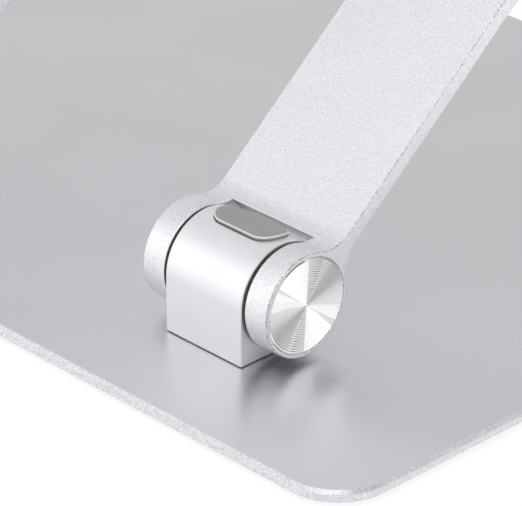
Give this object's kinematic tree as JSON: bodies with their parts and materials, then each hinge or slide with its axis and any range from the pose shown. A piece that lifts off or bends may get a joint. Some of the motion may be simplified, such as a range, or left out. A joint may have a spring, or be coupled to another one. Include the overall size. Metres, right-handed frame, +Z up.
{
  "type": "tablet stand",
  "caption": "Folding aluminium tablet stand: a base plate, two flat arms on friction hinges and a tilting tray with hooks at its lower edge.",
  "frame": {"origin": "middle of the base's footprint, on the surface that the feet stand on", "axes": "+Z up, -Y towards the person using the stand, +X to that person's right"},
  "size_m": [0.2544, 0.1974, 0.2739],
  "materials": {
    "plate_aluminium": "fine satin, clear anodised, with bright chamfered edges",
    "blasted_aluminium": "bead-blasted, clear anodised",
    "spun_aluminium": "concentric turned grooves, bright",
    "grey_silicone": "matt warm grey silicone",
    "foot_silicone": "matt dark grey silicone",
    "steel": "zinc-plated steel",
    "friction_lining": "dark brown fibre lining",
    "bush_bronze": "plain bronze"
  },
  "bodies": {
    "base": {"base_plate": "plate_aluminium", "foot_front_left": "foot_silicone", "foot_front_right": "foot_silicone", "foot_rear_left": "foot_silicone", "foot_rear_right": "foot_silicone", "base_screws": "steel", "left_base_knuckle": "blasted_aluminium", "left_base_knuckle_pad": "grey_silicone", "left_base_bush": "bush_bronze", "left_base_inner_washer": "friction_lining", "left_base_outer_washer": "friction_lining", "right_base_knuckle": "blasted_aluminium", "right_base_knuckle_pad": "grey_silicone", "right_base_bush": "bush_bronze", "right_base_inner_washer": "friction_lining", "right_base_outer_washer": "friction_lining"},
    "arms": {"left_arm": "blasted_aluminium", "right_arm": "blasted_aluminium", "left_base_inner_cap": "spun_aluminium", "left_base_outer_cap": "spun_aluminium", "left_base_hinge_bolt": "steel", "left_base_disc_springs": "steel", "left_base_lock_nut": "steel", "right_base_inner_cap": "spun_aluminium", "right_base_outer_cap": "spun_aluminium", "right_base_hinge_bolt": "steel", "right_base_disc_springs": "steel", "right_base_lock_nut": "steel", "left_tray_inner_cap": "spun_aluminium", "left_tray_outer_cap": "spun_aluminium", "left_tray_hinge_bolt": "steel", "left_tray_disc_springs": "steel", "left_tray_lock_nut": "steel", "right_tray_inner_cap": "spun_aluminium", "right_tray_outer_cap": "spun_aluminium", "right_tray_hinge_bolt": "steel", "right_tray_disc_springs": "steel", "right_tray_lock_nut": "steel"},
    "tray": {"tray_plate": "plate_aluminium", "tray_screws": "steel", "left_tray_pad": "grey_silicone", "left_hook_sleeve": "grey_silicone", "right_tray_pad": "grey_silicone", "right_hook_sleeve": "grey_silicone", "left_tray_knuckle": "blasted_aluminium", "left_tray_knuckle_pad": "grey_silicone", "left_tray_bush": "bush_bronze", "left_tray_inner_washer": "friction_lining", "left_tray_outer_washer": "friction_lining", "right_tray_knuckle": "blasted_aluminium", "right_tray_knuckle_pad": "grey_silicone", "right_tray_bush": "bush_bronze", "right_tray_inner_washer": "friction_lining", "right_tray_outer_washer": "friction_lining"}
  },
  "joints": [
    {"name": "arms_fold", "type": "hinge", "parent": "base", "child": "arms", "pos_m": [0, 0.0622, 0.0172], "axis": [-1, 0, 0], "range_deg": [-40, 60]},
    {"name": "tray_tilt", "type": "hinge", "parent": "arms", "child": "tray", "pos_m": [0, -0.06037, 0.12005], "axis": [1, 0, 0], "range_deg": [-102, 6]}
  ]
}
